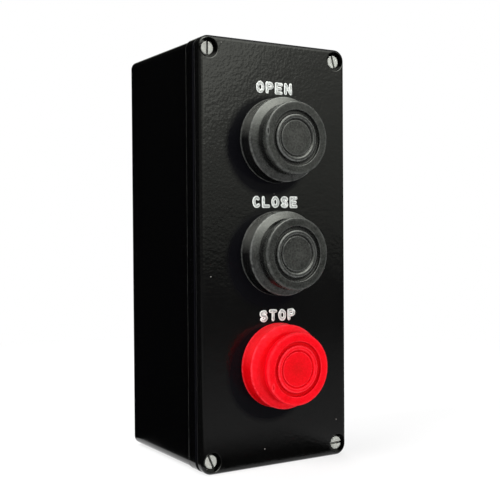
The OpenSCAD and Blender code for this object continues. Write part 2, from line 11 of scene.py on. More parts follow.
import bpy
import numpy as np
from mathutils import Matrix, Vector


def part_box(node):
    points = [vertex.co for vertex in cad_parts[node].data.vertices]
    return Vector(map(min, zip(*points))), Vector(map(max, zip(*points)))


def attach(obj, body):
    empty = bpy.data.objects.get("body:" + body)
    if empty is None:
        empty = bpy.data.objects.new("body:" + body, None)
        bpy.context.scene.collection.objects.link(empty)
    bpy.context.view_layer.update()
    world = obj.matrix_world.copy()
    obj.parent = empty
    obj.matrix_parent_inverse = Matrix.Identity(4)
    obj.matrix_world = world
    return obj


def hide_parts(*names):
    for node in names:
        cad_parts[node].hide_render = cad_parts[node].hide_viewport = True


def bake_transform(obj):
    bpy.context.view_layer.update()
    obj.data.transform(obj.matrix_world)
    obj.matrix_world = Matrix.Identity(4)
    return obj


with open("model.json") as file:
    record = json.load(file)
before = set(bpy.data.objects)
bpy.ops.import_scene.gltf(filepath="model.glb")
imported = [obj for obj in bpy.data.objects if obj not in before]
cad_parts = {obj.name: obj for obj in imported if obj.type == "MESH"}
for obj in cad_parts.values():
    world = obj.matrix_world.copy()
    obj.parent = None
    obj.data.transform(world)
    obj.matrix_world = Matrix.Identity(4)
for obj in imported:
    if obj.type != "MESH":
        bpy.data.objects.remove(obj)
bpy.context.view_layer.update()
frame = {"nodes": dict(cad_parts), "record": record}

MM = 0.001


def node_box(node):
    """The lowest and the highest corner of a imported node, in millimetres."""
    low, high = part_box(node)
    return np.array(low) / MM, np.array(high) / MM


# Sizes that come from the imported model: half the width and height, and places from front to back
COVER_LOW, COVER_HIGH = node_box("front_cover")
HALF_W = COVER_HIGH[0]
HALF_H = COVER_HIGH[2]
FACE_Y = COVER_LOW[1]
COVER_BACK_Y = COVER_HIGH[1]
BOX_FRONT_Y = node_box("back_box")[0][1]
BUTTONS = ["open", "close", "stop"]
BUTTON_Z = {name: float(sum(c[2] for c in node_box(name + "_boot")) / 2) for name in BUTTONS}

# Sizes of the castings
CORNER_R = 4.5
BOX_INSET = 0.5
BOX_CORNER_R = 3.5
BOX_BACK_R = 1.0
WALL_T = 3
BACK_T = 4
FLANGE_T = 6.2
FLANGE_EDGE_R = 0.45
STEP_R = 0.4
COVER_EDGE_R = 1.7
COVER_BACK_R = 0.35
PLATE_T = 3
CAVITY_R = 1.5
# How far in an edge's profile ends on the flat: behind the cover, on the front of the flange, and
# past the rounding of the other edges
COVER_RIM = 1
FLANGE_RIM = 1.5
EDGE_RUN = 0.4

# Cover screws, their recesses and their posts
SCREW_X = HALF_W - 4.5
SCREW_Z = HALF_H - 5
# Of each screw the side, the end, the angle at which its slot came to rest, and how far its hole
# was drilled off its place
SCREWS = [(-1, 1, 90, -0.5), (1, 1, 106, -0.6), (-1, -1, 113, -0.2), (1, -1, 2, 0)]
SCREW_R = 1.5
SCREW_LEN = 15
HEAD_R = 2.65
HEAD_H = 2
SLOT_W = 0.9
SLOT_DEPTH = 1.1
RECESS_R = 3.9
RECESS_DEPTH = 3.3
POST_R = 4.6
MOUTH_R = 0.3
HEAD_EDGE_R = 0.08

# Holes and bosses
BARREL_R = 10.7
KEY_W = 3.2
KEY_R = 11.5
WALL_HOLE_Z = 60
WALL_HOLE_R = 2.6
WALL_RING_R = 5.6
WALL_RING_H = 1
CONDUIT_Y = -28
CONDUIT_R = 9.15
CONDUIT_LEN = 12
THREAD_DEPTH = 0.8
THREAD_PITCH = 1.5
HUB_R = 12.65
EARTH_X = 18
EARTH_Z = -63
EARTH_R = 4.6
EARTH_H = 6
EARTH_HOLE_R = 2.05
EARTH_HOLE_DEPTH = 8

# Clearances round the posts, of a screw in its hole and of a screw in its thread
POST_GAP = 0.3
HOLE_GAP = 0.2
THREAD_GAP = 0.05
# How far a cutter reaches past the face that it opens
PAST = 1
# How deep the screw holes are cut from the face of the cover
SCREW_HOLE_DEPTH = 6

# Radii and heights of a boot, the heights measured outwards from the cover; two radii in one
# value are the outer and the inner side of a ring
HOLE_R = 10.7
LIP_T = 1.2
INNER_R = 12.5
CHANNEL_IN_R = 13.3
CHANNEL_OUT_R = 15.6
CHANNEL_H = 5
FOOT_R = 17
FOOT_H = 0.8
FOOT_TOP_H = 1.3
RING_R = 16.75
RING_H = 7
SHOULDER_R = 13.9
SHOULDER_H = 8.6
FOLD_R = 13.1
FOLD_H = 10.4
RIM_R = 14.2
RIM_H = 12.75
CAP_H = 15
CAP_T = 1.8
GROOVE_R = 10.9
GROOVE_FLOOR_R = (10.75, 9.45)
GROOVE_H = 13.7
BEAD_R = (9.25, 7.75)
FINE_GROOVE_R = (7.3, 7.0)
FINE_GROOVE_H = 14.25
DISC_R = 6.75
DISC_H = 14.6

scene = bpy.context.scene


# Meshes

def shade_smooth(mesh):
    """Shades every face of a mesh smooth."""
    mesh.polygons.foreach_set("use_smooth", [True] * len(mesh.polygons))


def make_piece(name, points, faces):
    """An object from points in millimetres and lists of the corners of its faces."""
    mesh = bpy.data.meshes.new(name)
    mesh.from_pydata((np.asarray(points, float) * MM).tolist(), [], [list(f) for f in faces])
    shade_smooth(mesh)
    mesh.update()
    piece = bpy.data.objects.new(name, mesh)
    scene.collection.objects.link(piece)
    return piece


def joined(parts):
    """One set of points and faces from several."""
    points, faces, first = [], [], 0
    for part_points, part_faces in parts:
        points.append(part_points)
        faces += [[int(i) + first for i in face] for face in part_faces]
        first += len(part_points)
    return np.concatenate(points), faces


def band_faces(rows, columns, wrap_rows=False):
    """Quads between neighbouring rows of a grid whose last column joins the first."""
    row, column = np.meshgrid(np.arange(rows if wrap_rows else rows - 1),
                              np.arange(columns), indexing="ij")
    after = (row + 1) % rows
    right = (column + 1) % columns
    corners = [row * columns + column, row * columns + right,
               after * columns + right, after * columns + column]
    return np.stack(corners, axis=-1).reshape(-1, 4)


def pole_faces(rows, columns):
    """Triangles that close a grid to two poles, which are the next two points after it."""
    column = np.arange(columns)
    after = (column + 1) % columns
    last = (rows - 1) * columns
    low = rows * columns + 0 * column
    return (np.stack([after, column, low], axis=1).tolist()
            + np.stack([last + column, last + after, low + 1], axis=1).tolist())


def end_faces(rows, columns):
    """Flat ends of a grid: its first row, turned round, and its last row."""
    first = list(range(columns))
    return [first[::-1], [(rows - 1) * columns + i for i in first]]


def vertex_places(piece):
    """The places of a piece's vertices, in metres."""
    flat = np.empty(len(piece.data.vertices) * 3)
    piece.data.vertices.foreach_get("co", flat)
    return flat.reshape(-1, 3)


def apply_modifiers(piece):
    """Replaces a piece's mesh by what its modifiers make of it."""
    bpy.context.view_layer.update()
    finished = bpy.data.meshes.new_from_object(
        piece.evaluated_get(bpy.context.evaluated_depsgraph_get()))
    piece.modifiers.clear()
    piece.data = finished


def combine(piece, other, operation):
    """Boolean of two closed pieces; the other piece is used up."""
    step = piece.modifiers.new(operation.lower(), "BOOLEAN")
    step.operation = operation
    step.solver = "EXACT"
    step.object = other
    apply_modifiers(piece)
    bpy.data.objects.remove(other)


def smooth_large_faces(piece, angle=40):
    """Marks edges sharper than the angle, and lets wide faces set the normals beside them."""
    piece.data.set_sharp_from_angle(angle=math.radians(angle))
    step = piece.modifiers.new("normals", "WEIGHTED_NORMAL")
    step.keep_sharp = True
    apply_modifiers(piece)


# Profiles and turned pieces

def round_corners(corners, turn=12):
    """A line through corners (x, y, radius) whose corners are arcs that touch both sides.

    The arc's centre lies on the bisector, radius / sin(half angle) from the corner, and there
    is about one point for every `turn` degrees. The first and the last corner stay sharp.
    """
    line = [np.array(corners[0][:2], float)]
    for before, (x, y, radius), after in zip(corners, corners[1:-1], corners[2:]):
        corner = np.array([x, y], float)
        if radius == 0:
            line.append(corner)
            continue
        back = np.array(before[:2]) - corner
        ahead = np.array(after[:2]) - corner
        back /= np.linalg.norm(back)
        ahead /= np.linalg.norm(ahead)
        half = math.acos(np.clip(back @ ahead, -1, 1)) / 2
        bisector = (back + ahead) / np.linalg.norm(back + ahead)
        centre = corner + bisector * radius / math.sin(half)
        start, end = (corner + side * radius / math.tan(half) - centre for side in (back, ahead))
        first = math.atan2(start[1], start[0])
        sweep = (math.atan2(end[1], end[0]) - first + math.pi) % (2 * math.pi) - math.pi
        steps = max(2, round(abs(math.degrees(sweep)) / turn))
        angles = first + sweep * np.linspace(0, 1, steps + 1)
        line += list(centre + radius * np.stack([np.cos(angles), np.sin(angles)], axis=1))
    line.append(np.array(corners[-1][:2], float))
    return np.array(line)


def turned(profile, sides=96):
    """A profile (r, z) turned about the z axis: the point (r cos a, r sin a, z).

    The profile runs counterclockwise in the r, z plane. A profile that starts and ends on the
    axis closes in two poles, and any other profile joins its end to its start.
    """
    profile = np.asarray(profile, float)
    poles = profile[0, 0] == 0 and profile[-1, 0] == 0
    rows = profile[1:-1] if poles else profile
    angle = np.linspace(0, 2 * math.pi, sides, endpoint=False)
    r, z = rows[:, :1], rows[:, 1:]
    points = np.stack([r * np.cos(angle), r * np.sin(angle), z + 0 * angle], axis=-1)
    points = points.reshape(-1, 3)
    faces = band_faces(len(rows), sides, wrap_rows=not poles).tolist()
    if poles:
        ends = np.array([[0, 0, profile[0, 1]], [0, 0, profile[-1, 1]]])
        points = np.concatenate([points, ends])
        faces += pole_faces(len(rows), sides)
    return points, faces


def round_bar(radius, z0, z1):
    """Profile of a plain round bar on the axis."""
    return [(0, z0), (radius, z0), (radius, z1), (0, z1)]


def out_of_face(points, x, y, z):
    """Stands points (x right, y up, z out of the cover) on the place x, y, z."""
    points = np.asarray(points, float)
    return np.stack([x + points[:, 0], y - points[:, 2], z + points[:, 1]], axis=1)


def turn_about_axis(points, degrees):
    """Points turned about their own z axis."""
    c, s = math.cos(math.radians(degrees)), math.sin(math.radians(degrees))
    return points @ np.array([[c, s, 0], [-s, c, 0], [0, 0, 1]])


# Castings, built from rounded rectangles that follow one another from the wall to the front

def rounded_rectangle(half_w, half_h, radius, steps=10):
    """Outline of a rectangle with round corners, anticlockwise from the right side: each corner
    is its centre plus radius times (cos a, sin a)."""
    quarter = np.linspace(0, math.pi / 2, steps + 1)
    angle = quarter + np.arange(4)[:, None] * math.pi / 2
    centre_x = (half_w - radius) * np.array([1, -1, -1, 1])[:, None]
    centre_z = (half_h - radius) * np.array([1, 1, -1, -1])[:, None]
    x = centre_x + radius * np.cos(angle)
    z = centre_z + radius * np.sin(angle)
    return np.stack([x.ravel(), z.ravel()], axis=1)


def rolled_block(half_w, half_h, profile, corner_radii):
    """A closed block: each profile point (inset, y) is a rounded rectangle that stands in by
    the inset, at the depth y, with the corner radius given for it. The ends are flat."""
    outlines = [rounded_rectangle(half_w - inset, half_h - inset, radius)
                for (inset, _), radius in zip(profile, corner_radii)]
    columns = len(outlines[0])
    points = np.concatenate([
        np.stack([line[:, 0], np.full(columns, y), line[:, 1]], axis=1)
        for line, (_, y) in zip(outlines, profile)])
    return points, band_faces(len(profile), columns).tolist() + end_faces(len(profile), columns)


def prism(low, high):
    """A rectangular block between two corners."""
    (x0, y0, z0), (x1, y1, z1) = low, high
    points = [(x, y, z) for x in (x0, x1) for y in (y0, y1) for z in (z0, z1)]
    faces = [(0, 1, 3, 2), (4, 6, 7, 5), (0, 4, 5, 1), (2, 3, 7, 6), (0, 2, 6, 4), (1, 5, 7, 3)]
    return np.array(points, float), faces


def threaded_bar(radius, depth, pitch, length, sides=64, rows_per_turn=8):
    """A bar on the z axis with a right-hand thread: at angle a and height h the radius is
    radius + depth * (1 - |2 frac(h / pitch - a / 360) - 1|), and the ends are flat."""
    rows = int(length / pitch * rows_per_turn) + 1
    height = np.linspace(0, length, rows)[:, None]
    angle = np.linspace(0, 2 * math.pi, sides, endpoint=False)[None, :]
    phase = (height / pitch - angle / (2 * math.pi)) % 1
    r = radius + depth * (1 - np.abs(2 * phase - 1))
    points = np.stack([r * np.cos(angle), r * np.sin(angle), height + 0 * angle], axis=-1)
    return points.reshape(-1, 3), band_faces(rows, sides).tolist() + end_faces(rows, sides)


def screw_places():
    """The middle of each cover screw and the turn of its slot."""
    return [(side * SCREW_X + off, end * SCREW_Z, slot) for side, end, slot, off in SCREWS]


def flared_hole(radius, mouth_r, depth):
    """Profile of a cutter for a hole that sinks in from z = 0 and whose mouth is rounded off by
    a quarter circle of radius mouth_r."""
    quarter = np.linspace(math.pi, math.pi / 2, 5)
    mouth = [(radius + mouth_r + mouth_r * math.cos(a), -mouth_r + mouth_r * math.sin(a))
             for a in quarter]
    return [(0, -depth), (radius, -depth)] + mouth + [(radius + mouth_r, PAST), (0, PAST)]


def cavity(y_open, y_floor, pad_r):
    """The inside of the box or cover: a rolled block less the four screw posts."""
    y_front, y_back = sorted((y_open, y_floor))
    inside = make_piece("cavity", *rolled_block(
        HALF_W - BOX_INSET - WALL_T, HALF_H - BOX_INSET - WALL_T,
        [(0, y_back), (0, y_front)], [CAVITY_R, CAVITY_R]))
    for x, z, _ in screw_places():
        post = turned(round_bar(pad_r, -PAST, y_back - y_front + PAST))
        combine(inside, make_piece("post", out_of_face(post[0], x, y_back, z), post[1]),
                "DIFFERENCE")
    return inside


def cut_holes(piece, cutters):
    """Cuts turned holes (profile, x, y, z) that sink in from the front out of a piece."""
    for profile, x, y, z in cutters:
        points, faces = turned(profile)
        combine(piece, make_piece("cutter", out_of_face(points, x, y, z), faces), "DIFFERENCE")


def make_cover():
    """The cover: a rolled plate with a rounded front edge, hollow behind, with its holes."""
    edge = round_corners([(COVER_RIM, COVER_BACK_Y, 0), (0, COVER_BACK_Y, COVER_BACK_R),
                          (0, FACE_Y, COVER_EDGE_R), (COVER_EDGE_R + EDGE_RUN, FACE_Y, 0)], 9)
    cover = make_piece("cover", *rolled_block(HALF_W, HALF_H, edge, CORNER_R - edge[:, 0]))
    combine(cover, cavity(COVER_BACK_Y + PAST, FACE_Y + PLATE_T, POST_R + POST_GAP), "DIFFERENCE")
    recess = flared_hole(RECESS_R, MOUTH_R, RECESS_DEPTH)
    hole = round_bar(SCREW_R + HOLE_GAP, -SCREW_HOLE_DEPTH, PAST)
    cutters = [(profile, x, FACE_Y, z) for x, z, _ in screw_places()
               for profile in (recess, hole)]
    through = PLATE_T + PAST
    cutters += [(round_bar(BARREL_R, -through, PAST), 0, FACE_Y, z)
                for z in BUTTON_Z.values()]
    cut_holes(cover, cutters)
    for z in BUTTON_Z.values():
        notch = prism((-KEY_W / 2, FACE_Y - PAST, z), (KEY_W / 2, FACE_Y + through, z + KEY_R))
        combine(cover, make_piece("notch", *notch), "DIFFERENCE")
    smooth_large_faces(cover)
    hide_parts("front_cover")
    return cover


def make_box():
    """The cast box: rounded rear edges, a flange with softened edges, posts and bosses inside."""
    step_y = BOX_FRONT_Y + FLANGE_T
    side = BOX_INSET
    skin = round_corners([(side + BOX_BACK_R + EDGE_RUN, 0, 0), (side, 0, BOX_BACK_R),
                          (side, step_y, STEP_R), (0, step_y, FLANGE_EDGE_R),
                          (0, BOX_FRONT_Y, FLANGE_EDGE_R), (FLANGE_RIM, BOX_FRONT_Y, 0)], 9)
    inset, y = skin.T
    radii = np.where(y > step_y, BOX_CORNER_R + BOX_INSET, CORNER_R) - inset
    box = make_piece("box", *rolled_block(HALF_W, HALF_H, skin, radii))
    hollow = cavity(BOX_FRONT_Y - PAST, -BACK_T, POST_R)
    bosses = [(WALL_RING_R, WALL_RING_H, 0, z) for z in (WALL_HOLE_Z, -WALL_HOLE_Z)]
    bosses.append((EARTH_R, EARTH_H, EARTH_X, EARTH_Z))
    for radius, height, x, z in bosses:
        boss = turned(round_bar(radius, -PAST, height))
        combine(hollow, make_piece("boss", out_of_face(boss[0], x, -BACK_T, z), boss[1]),
                "DIFFERENCE")
    hub = turned(round_bar(HUB_R, -HALF_H, -HALF_H + BOX_INSET + CONDUIT_LEN))
    combine(hollow, make_piece("hub", hub[0] + [0, CONDUIT_Y, 0], hub[1]), "DIFFERENCE")
    combine(box, hollow, "DIFFERENCE")
    tap = threaded_bar(CONDUIT_R, THREAD_DEPTH, THREAD_PITCH, CONDUIT_LEN + 3 * PAST)
    combine(box, make_piece("tap", tap[0] + [0, CONDUIT_Y, -HALF_H - PAST], tap[1]), "DIFFERENCE")
    cutters = [(round_bar(WALL_HOLE_R, -PAST, BACK_T + WALL_RING_H + PAST), 0, 0, z)
               for z in (WALL_HOLE_Z, -WALL_HOLE_Z)]
    cutters += [(round_bar(SCREW_R + THREAD_GAP, -SCREW_LEN, PAST), x, BOX_FRONT_Y, z)
                for x, z, _ in screw_places()]
    cutters.append((round_bar(EARTH_HOLE_R, -EARTH_HOLE_DEPTH, PAST),
                    EARTH_X, -BACK_T - EARTH_H, EARTH_Z))
    cut_holes(box, cutters)
    smooth_large_faces(box)
    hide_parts("back_box")
    return box


# Rubber boots

def boot_profile():
    """Section of a boot from the pole inside the cap, round the lip and the base ring, over the
    fold, the rim, the groove and the bead, to the pole of the flat disc."""
    inner_top = CAP_H - CAP_T
    return round_corners([
        (0, inner_top, 0), (INNER_R, inner_top, 0.5), (INNER_R, LIP_T, 0.2),
        (HOLE_R, LIP_T, 0.3), (HOLE_R, 0, 0.3), (CHANNEL_IN_R, 0, 0.3),
        (CHANNEL_IN_R, CHANNEL_H, 0.5), (CHANNEL_OUT_R, CHANNEL_H, 0.5), (CHANNEL_OUT_R, 0, 0.3),
        (FOOT_R, 0, 0.3), (FOOT_R, FOOT_H, 0.35), (RING_R, FOOT_TOP_H, 0.3),
        (RING_R, RING_H, 0.4), (SHOULDER_R, SHOULDER_H, 0.15), (FOLD_R, FOLD_H, 0.9),
        (RIM_R, RIM_H, 0.3), (RIM_R, CAP_H, 0.55), (GROOVE_R, CAP_H, 0.25),
        (GROOVE_FLOOR_R[0], GROOVE_H, 0.3), (GROOVE_FLOOR_R[1], GROOVE_H, 0.25),
        (BEAD_R[0], CAP_H, 0.85), (BEAD_R[1], CAP_H, 0.85),
        (FINE_GROOVE_R[0], FINE_GROOVE_H, 0.25), (FINE_GROOVE_R[1], FINE_GROOVE_H, 0.15),
        (DISC_R, DISC_H, 0.25), (0, DISC_H, 0)])


def make_boot(name):
    """One boot, turned in one piece, with its base ring on the cover, the fold and the cap. Its
    attribute "section" keeps the place (radius, height) of every point in the section, in
    millimetres, "at_rest" the point's place at rest, and "up" how far it lies above the axis, from
    -1 to 1."""
    points, faces = turned(boot_profile(), 128)
    z = BUTTON_Z[name]
    boot = make_piece(name + "_rubber_boot", out_of_face(points, 0, FACE_Y, z), faces)
    section = np.stack([np.hypot(points[:, 0], points[:, 1]), points[:, 2],
                        0 * points[:, 2]], axis=1)
    at_rest = out_of_face(points, 0, FACE_Y, z) * MM
    up = np.stack([points[:, 1] / np.maximum(section[:, 0], 1)] * 3, axis=1)
    for attribute, values in (("section", section), ("at_rest", at_rest), ("up", up)):
        kept = boot.data.attributes.new(attribute, "FLOAT_VECTOR", "POINT")
        kept.data.foreach_set("vector", values.ravel())
    smooth_large_faces(boot, 60)
    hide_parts(name + "_boot")
    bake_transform(boot)
    return boot


def make_spring(name):
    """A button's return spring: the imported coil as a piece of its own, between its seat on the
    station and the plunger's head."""
    node = name + "_return_spring"
    spring = bpy.data.objects.new(name + "_coil", frame["nodes"][node].data.copy())
    scene.collection.objects.link(spring)
    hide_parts(node)
    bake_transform(spring)
    return spring


# Cover screws

def make_screws():
    """Four slotted cheese-head screws in their recesses, each head softened at its edges."""
    profile = round_corners([
        (0, -SCREW_LEN, 0), (SCREW_R, -SCREW_LEN, 0.3), (SCREW_R, 0, 0), (HEAD_R, 0, 0.15),
        (HEAD_R, HEAD_H, 0.3), (0, HEAD_H, 0)], 15)
    parts = []
    for x, z, slot in screw_places():
        points, faces = turned(profile, 48)
        screw = make_piece("screw", points, faces)
        slot_box = prism((-HEAD_R - PAST, -SLOT_W / 2, HEAD_H - SLOT_DEPTH),
                         (HEAD_R + PAST, SLOT_W / 2, HEAD_H + PAST))
        combine(screw, make_piece("slot", *slot_box), "DIFFERENCE")
        bevel = screw.modifiers.new("edge", "BEVEL")
        bevel.limit_method = "ANGLE"
        bevel.angle_limit = math.radians(50)
        bevel.width = HEAD_EDGE_R * MM
        bevel.segments = 2
        apply_modifiers(screw)
        points = turn_about_axis(vertex_places(screw) / MM, slot)
        faces = [list(p.vertices) for p in screw.data.polygons]
        bpy.data.objects.remove(screw)
        parts.append((out_of_face(points, x, FACE_Y + RECESS_DEPTH, z), faces))
    screws = make_piece("screws", *joined(parts))
    smooth_large_faces(screws, 35)
    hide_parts("cover_screws")
    return screws


# Function words, in a plain round-ended stroke letter

LETTER_H = 4.8
STROKE_R = 0.70
WORD_PROUD = 0.22
LETTER_PITCH = 4.42
LETTER_GAP = 0.6
# How uneven the hand that painted the words was: lean in degrees, height and bends
LEAN = 1.2
DROP = 0.06
WOBBLE = 0.03
# Size of the cells from which the skin of a word is made
WORD_CELL = 0.1
# Each word: its left end and the height of its middle on the cover
WORDS = {"open": ("OPEN", -9.25, 66.6),
         "close": ("CLOSE", -11.3, 21.0),
         "stop": ("STOP", -8.3, -24.5)}


def arc(x, z, rx, rz, first, last, steps=14):
    """Points of an elliptic arc: (x + rx cos a, z + rz sin a), a in degrees."""
    a = np.radians(np.linspace(first, last, steps))
    return np.stack([x + rx * np.cos(a), z + rz * np.sin(a)], axis=1)


def letter_strokes():
    """The strokes of each letter on a field 1 wide and 1 high."""
    left, right, mid = 0.0, 1.0, 0.5
    return {
        "O": [arc(mid, 0.5, 0.5, 0.5, 0, 360, 28)],
        "P": [np.array([(left, 0), (left, 1)]),
              np.concatenate([[(left, 1)], arc(0.55, 0.74, 0.45, 0.26, 90, -90), [(left, 0.48)]])],
        "E": [np.array([(right, 1), (left, 1), (left, 0), (right, 0)]),
              np.array([(left, 0.5), (0.82, 0.5)])],
        "N": [np.array([(left, 0), (left, 1), (right, 0), (right, 1)])],
        "C": [arc(mid, 0.5, 0.5, 0.5, 48, 312, 24)],
        "L": [np.array([(left, 1), (left, 0), (right, 0)])],
        "S": [np.concatenate([arc(mid, 0.75, 0.48, 0.25, 25, 270, 16),
                              arc(mid, 0.25, 0.48, 0.25, 90, -155, 16)])],
        "T": [np.array([(left, 1), (right, 1)]), np.array([(mid, 1), (mid, 0)])],
    }


def stroke_beads(line, radius):
    """A round-ended bead along a line: for each piece of the line a capsule, whose section is a
    circle of the radius and whose ends are half balls."""
    parts = []
    around = np.linspace(0, 2 * math.pi, 16, endpoint=False)
    for (x0, z0), (x1, z1) in zip(line[:-1], line[1:]):
        run = np.array([x1 - x0, 0, z1 - z0])
        length = np.linalg.norm(run)
        if length < 1e-6:
            continue
        ahead = run / length
        side = np.array([ahead[2], 0, -ahead[0]])
        bulge = np.linspace(-math.pi / 2, math.pi / 2, 9)[1:-1]
        along = np.where(bulge < 0, 0, length) + radius * np.sin(bulge)
        along = np.insert(along, len(bulge) // 2, 0)
        r = np.insert(radius * np.cos(bulge), len(bulge) // 2, radius)
        start = np.array([x0, 0, z0])
        ring = np.cos(around)[:, None] * side + np.sin(around)[:, None] * np.array([0, 1, 0])
        points = start + along[:, None, None] * ahead + r[:, None, None] * ring[None]
        rows, columns = points.shape[:2]
        tips = np.stack([start - radius * ahead, start + (length + radius) * ahead])
        parts.append((np.concatenate([points.reshape(-1, 3), tips]),
                      band_faces(rows, columns).tolist() + pole_faces(rows, columns)))
    return parts


def make_word(name):
    """One function word: the beads of its strokes made one skin, then pressed flat on the face."""
    letters, x_left, z_mid = WORDS[name]
    rng = np.random.default_rng(sum(map(ord, letters)))
    strokes = letter_strokes()
    field_w = LETTER_PITCH - LETTER_GAP - 2 * STROKE_R
    field_h = LETTER_H - 2 * STROKE_R
    parts = []
    for i, letter in enumerate(letters):
        lean, drop = rng.normal(0, LEAN), rng.normal(0, DROP)
        for line in strokes[letter]:
            place = (line - 0.5) * [field_w, field_h]
            place = place @ np.array([[1, math.radians(lean)], [-math.radians(lean), 1]])
            place = place + rng.normal(0, WOBBLE, place.shape)
            place += [x_left + STROKE_R + field_w / 2 + i * LETTER_PITCH, z_mid + drop]
            parts += stroke_beads(place, STROKE_R)
    word = make_piece(name + "_word", *joined(parts))
    remesh = word.modifiers.new("skin", "REMESH")
    remesh.mode = "VOXEL"
    remesh.voxel_size = WORD_CELL * MM
    relax = word.modifiers.new("relax", "SMOOTH")
    relax.iterations = 4
    apply_modifiers(word)
    points = vertex_places(word)
    points[:, 1] = points[:, 1] * WORD_PROUD / STROKE_R + FACE_Y * MM
    word.data.vertices.foreach_set("co", points.ravel())
    word.data.update()
    shade_smooth(word.data)
    return word


# Materials

def colour(r, g, b):
    """An opaque colour from its linear red, green and blue."""
    return (r, g, b, 1.0)


class Value:
    """A number that varies over a surface. Sums, differences, products and comparisons of Values
    add Math nodes."""

    def __init__(self, finish, socket):
        self.finish = finish
        self.socket = socket

    def __add__(self, other):
        return self.finish.math("ADD", self, other)

    def __radd__(self, other):
        return self.finish.math("ADD", other, self)

    def __sub__(self, other):
        return self.finish.math("SUBTRACT", self, other)

    def __rsub__(self, other):
        return self.finish.math("SUBTRACT", other, self)

    def __mul__(self, other):
        return self.finish.math("MULTIPLY", self, other)

    def __rmul__(self, other):
        return self.finish.math("MULTIPLY", other, self)

    def __gt__(self, other):
        return self.finish.math("GREATER_THAN", self, other)


class Nodes:
    """A node tree under construction."""

    def __init__(self, tree):
        self.tree = tree

    def node(self, kind, settings, sockets):
        """Adds a node: its settings first, then the values or links of its sockets."""
        node = self.tree.nodes.new(kind)
        for key, value in settings.items():
            setattr(node, key, value)
        for key, value in sockets.items():
            self.put(value, node.inputs[key])
        return node

    def put(self, value, socket):
        """Gives a socket a plain value, or links it to what varies."""
        if isinstance(value, Value):
            value = value.socket
        if isinstance(value, bpy.types.NodeSocket):
            self.tree.links.new(value, socket)
        else:
            socket.default_value = value

    def math(self, operation, a, b):
        """One Math node on two numbers or values."""
        out = self.node("ShaderNodeMath", {"operation": operation}, {0: a, 1: b})
        return Value(self, out.outputs[0])

    def measure(self, operation, *vectors):
        """A number worked out from vectors, such as their distance or their dot product."""
        out = self.node("ShaderNodeVectorMath", {"operation": operation},
                        dict(enumerate(vectors)))
        return Value(self, out.outputs["Value"])

    def range(self, value, low, high, to_low=0.0, to_high=1.0):
        """Maps low..high to to_low..to_high, held at both ends."""
        out = self.node("ShaderNodeMapRange", {"clamp": True}, {
            "Value": value, "From Min": low, "From Max": high, "To Min": to_low,
            "To Max": to_high})
        return Value(self, out.outputs["Result"])

    def mix(self, factor, a, b):
        """Colour b over colour a by the factor."""
        out = self.node("ShaderNodeMix", {"data_type": "RGBA"}, {0: factor, 6: a, 7: b})
        return out.outputs[2]

    def rays(self, *kinds):
        """1 for rays of the kinds, such as "Camera"."""
        path = self.node("ShaderNodeLightPath", {}, {})
        return sum(Value(self, path.outputs[f"Is {kind} Ray"]) for kind in kinds)


class Finish(Nodes):
    """A material under construction."""

    def __init__(self, begun):
        """Starts a material from its name, or goes on with one that is begun."""
        self.material = bpy.data.materials.new(begun) if isinstance(begun, str) else begun
        self.material.use_nodes = True
        super().__init__(self.material.node_tree)
        self.shader = self.tree.nodes["Principled BSDF"]
        self.place = self.node("ShaderNodeTexCoord", {}, {}).outputs["Object"]

    def noise(self, size, detail=2, roughness=0.5, place=None):
        """Soft noise from 0 to 1 whose lumps are about `size` millimetres across."""
        out = self.node("ShaderNodeTexNoise", {}, {
            "Vector": place or self.place, "Scale": 1 / (size * MM), "Detail": detail,
            "Roughness": roughness})
        return Value(self, out.outputs[0])

    def along(self, axis):
        """The place on the piece along one axis, in metres."""
        parts = self.node("ShaderNodeSeparateXYZ", {}, {"Vector": self.place})
        return Value(self, parts.outputs[axis])

    def attribute(self, name, output="Vector"):
        """What the mesh keeps under a name for each of its points."""
        return self.node("ShaderNodeAttribute", {"attribute_name": name}, {}).outputs[output]

    def stretched(self, sx, sy, sz):
        """The place on the piece, stretched along its axes."""
        return self.node("ShaderNodeMapping", {"vector_type": "POINT"}, {
            "Vector": self.place, "Scale": (sx, sy, sz)}).outputs["Vector"]

    def specks(self, spacing, size, share):
        """1 on a few round specks: cells of the spacing, a speck of the size in a share of them."""
        cell = self.node("ShaderNodeTexVoronoi", {"feature": "F1"}, {
            "Vector": self.place, "Scale": 1 / (spacing * MM), "Randomness": 1.0})
        near = self.range(Value(self, cell.outputs["Distance"]), 0.6 * size / spacing,
                          size / spacing, 1, 0)
        pick = self.node("ShaderNodeSeparateColor", {}, {"Color": cell.outputs["Color"]})
        return near * (Value(self, pick.outputs["Red"]) > 1 - share)

    def bump(self, height, depth):
        """A bump whose height of 1 stands for `depth` millimetres."""
        out = self.node("ShaderNodeBump", {}, {
            "Height": height, "Distance": depth * MM, "Strength": 1.0})
        self.set(Normal=out.outputs["Normal"])

    def set(self, **sockets):
        """Sets or links sockets of the shader; underscores in the names stand for spaces."""
        for name, value in sockets.items():
            self.put(value, self.shader.inputs[name.replace("_", " ")])
        return self.material

    def overlay(self, share, other):
        """Lays another shader over the material's own by a share."""
        both = self.node("ShaderNodeMixShader", {}, {
            0: share, 1: self.shader.outputs[0], 2: other.outputs[0]})
        self.put(both.outputs[0], self.tree.nodes["Material Output"].inputs["Surface"])
        return self.material

    def dull(self, share):
        """Lays a matt black over the material by a share."""
        return self.overlay(share, self.node("ShaderNodeBsdfDiffuse", {}, {
            "Color": colour(0.003, 0.003, 0.004)}))


